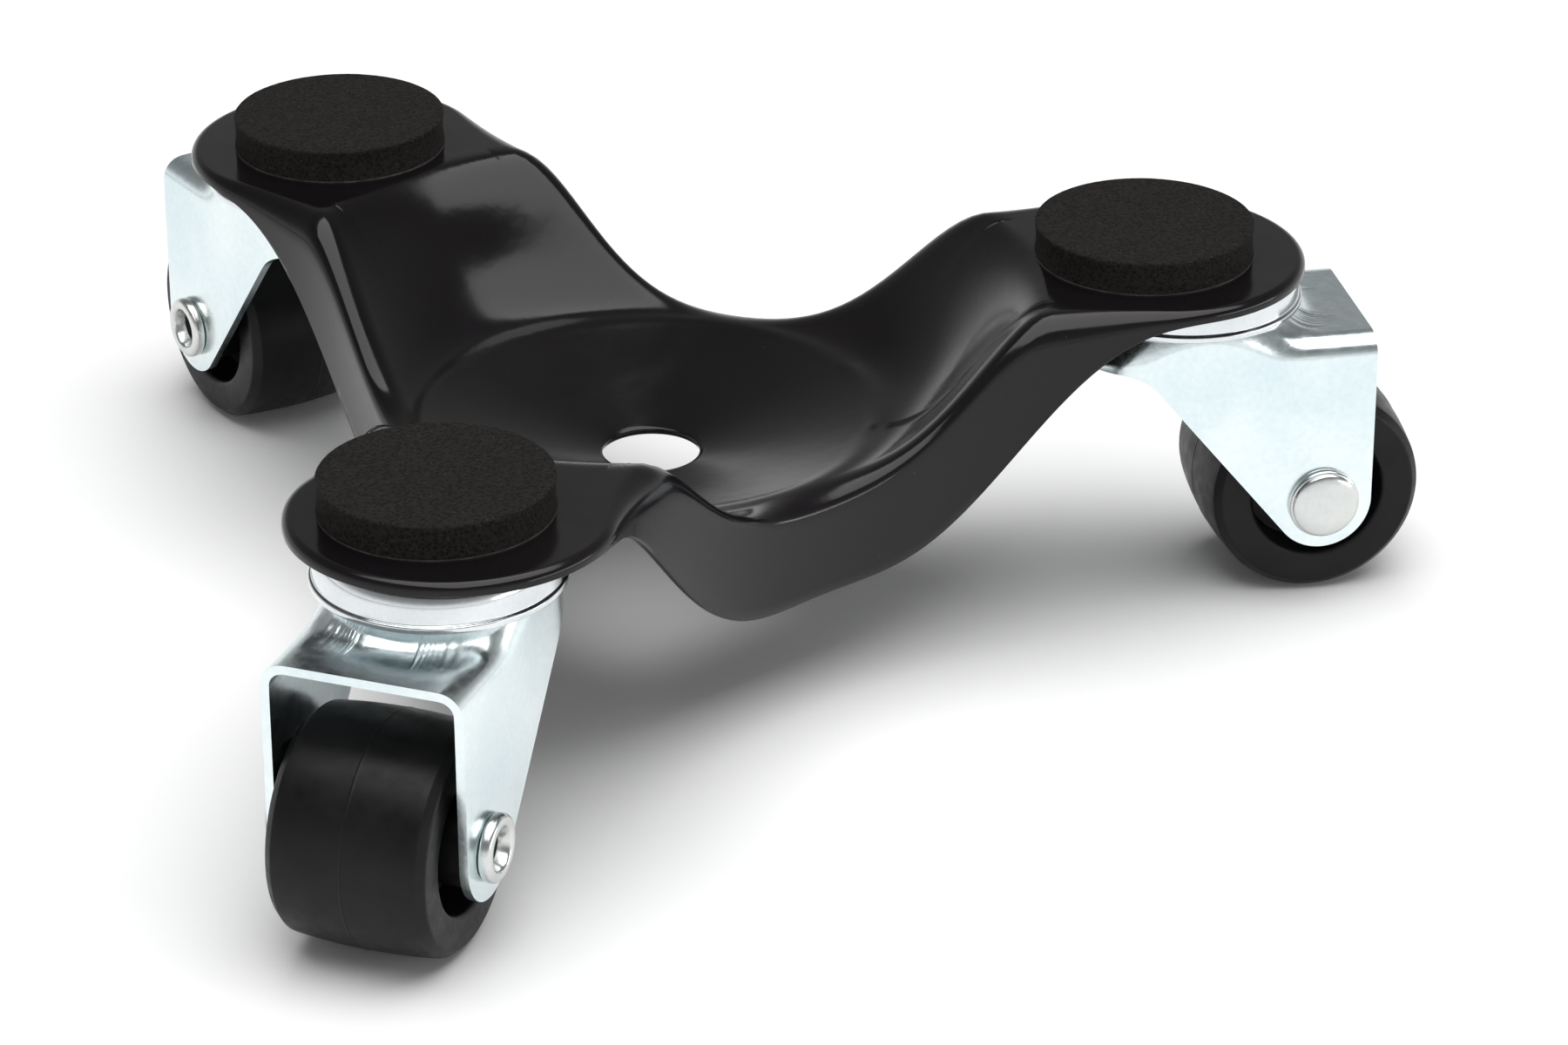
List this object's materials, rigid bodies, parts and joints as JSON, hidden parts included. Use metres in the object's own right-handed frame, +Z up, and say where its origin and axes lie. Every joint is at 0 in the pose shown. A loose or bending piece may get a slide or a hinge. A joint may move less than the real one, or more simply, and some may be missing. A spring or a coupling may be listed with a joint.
{
  "type": "tri-lobe furniture dolly",
  "caption": "Low pressed-steel furniture dolly: a tri-lobe plate with a dished centre and round foam pads on its lobes, standing on twin-raceway swivel casters with wide plain wheels.",
  "frame": {"origin": "centre of the plate's centre hole, on the plate's upper surface", "axes": "+Z up along the centre hole's axis, -Y along the front lobe; the other lobes are 120 degrees to each side; the floor is 32 mm below the origin"},
  "size_m": [0.2436, 0.2171, 0.068],
  "materials": {
    "black_enamel": "gloss",
    "foam": "matte",
    "adhesive_film": "matte",
    "bright_zinc": "polished",
    "fork_zinc": "satin",
    "rivet_zinc": "satin",
    "ball_steel": "polished",
    "wheel_polymer": "satin"
  },
  "bodies": {
    "plate": {"dolly_plate": "black_enamel", "pad_film_front": "adhesive_film", "foam_pad_front": "foam", "raceway_cup_front": "bright_zinc", "kingpin_front": "bright_zinc", "lower_race_front": "bright_zinc", "pad_film_right": "adhesive_film", "foam_pad_right": "foam", "raceway_cup_right": "bright_zinc", "kingpin_right": "bright_zinc", "lower_race_right": "bright_zinc", "pad_film_left": "adhesive_film", "foam_pad_left": "foam", "raceway_cup_left": "bright_zinc", "kingpin_left": "bright_zinc", "lower_race_left": "bright_zinc"},
    "fork_front": {"fork_front": "fork_zinc", "axle_rivet_front": "rivet_zinc"},
    "wheel_front": {"wheel_front": "wheel_polymer"},
    "balls_front": {"upper_balls_front": "ball_steel", "lower_balls_front": "ball_steel"},
    "fork_right": {"fork_right": "fork_zinc", "axle_rivet_right": "rivet_zinc"},
    "wheel_right": {"wheel_right": "wheel_polymer"},
    "balls_right": {"upper_balls_right": "ball_steel", "lower_balls_right": "ball_steel"},
    "fork_left": {"fork_left": "fork_zinc", "axle_rivet_left": "rivet_zinc"},
    "wheel_left": {"wheel_left": "wheel_polymer"},
    "balls_left": {"upper_balls_left": "ball_steel", "lower_balls_left": "ball_steel"}
  },
  "joints": [
    {"name": "swivel_front", "type": "hinge", "parent": "plate", "child": "fork_front", "pos_m": [0, -0.0943, 0.02], "axis": [0, 0, 1], "continuous": true},
    {"name": "ball_rows_front", "type": "hinge", "parent": "plate", "child": "balls_front", "pos_m": [0, -0.0943, 0.02], "axis": [0, 0, 1], "continuous": true},
    {"name": "roll_front", "type": "hinge", "parent": "fork_front", "child": "wheel_front", "pos_m": [-0.00038, -0.1162, -0.0128], "axis": [0.9998, -0.0175, 0], "continuous": true},
    {"name": "swivel_right", "type": "hinge", "parent": "plate", "child": "fork_right", "pos_m": [0.08167, 0.04715, 0.02], "axis": [0, 0, 1], "continuous": true},
    {"name": "ball_rows_right", "type": "hinge", "parent": "plate", "child": "balls_right", "pos_m": [0.08167, 0.04715, 0.02], "axis": [0, 0, 1], "continuous": true},
    {"name": "roll_right", "type": "hinge", "parent": "fork_right", "child": "wheel_right", "pos_m": [0.10063, 0.0581, -0.0128], "axis": [-0.5, 0.866, 0], "continuous": true},
    {"name": "swivel_left", "type": "hinge", "parent": "plate", "child": "fork_left", "pos_m": [-0.08167, 0.04715, 0.02], "axis": [0, 0, 1], "continuous": true},
    {"name": "ball_rows_left", "type": "hinge", "parent": "plate", "child": "balls_left", "pos_m": [-0.08167, 0.04715, 0.02], "axis": [0, 0, 1], "continuous": true},
    {"name": "roll_left", "type": "hinge", "parent": "fork_left", "child": "wheel_left", "pos_m": [-0.09899, 0.06054, -0.0128], "axis": [-0.6115, -0.7912, 0], "continuous": true}
  ],
  "couplings": [
    {"joint": "ball_rows_front", "follows": "swivel_front", "ratio": 0.5},
    {"joint": "ball_rows_right", "follows": "swivel_right", "ratio": 0.5},
    {"joint": "ball_rows_left", "follows": "swivel_left", "ratio": 0.5}
  ]
}
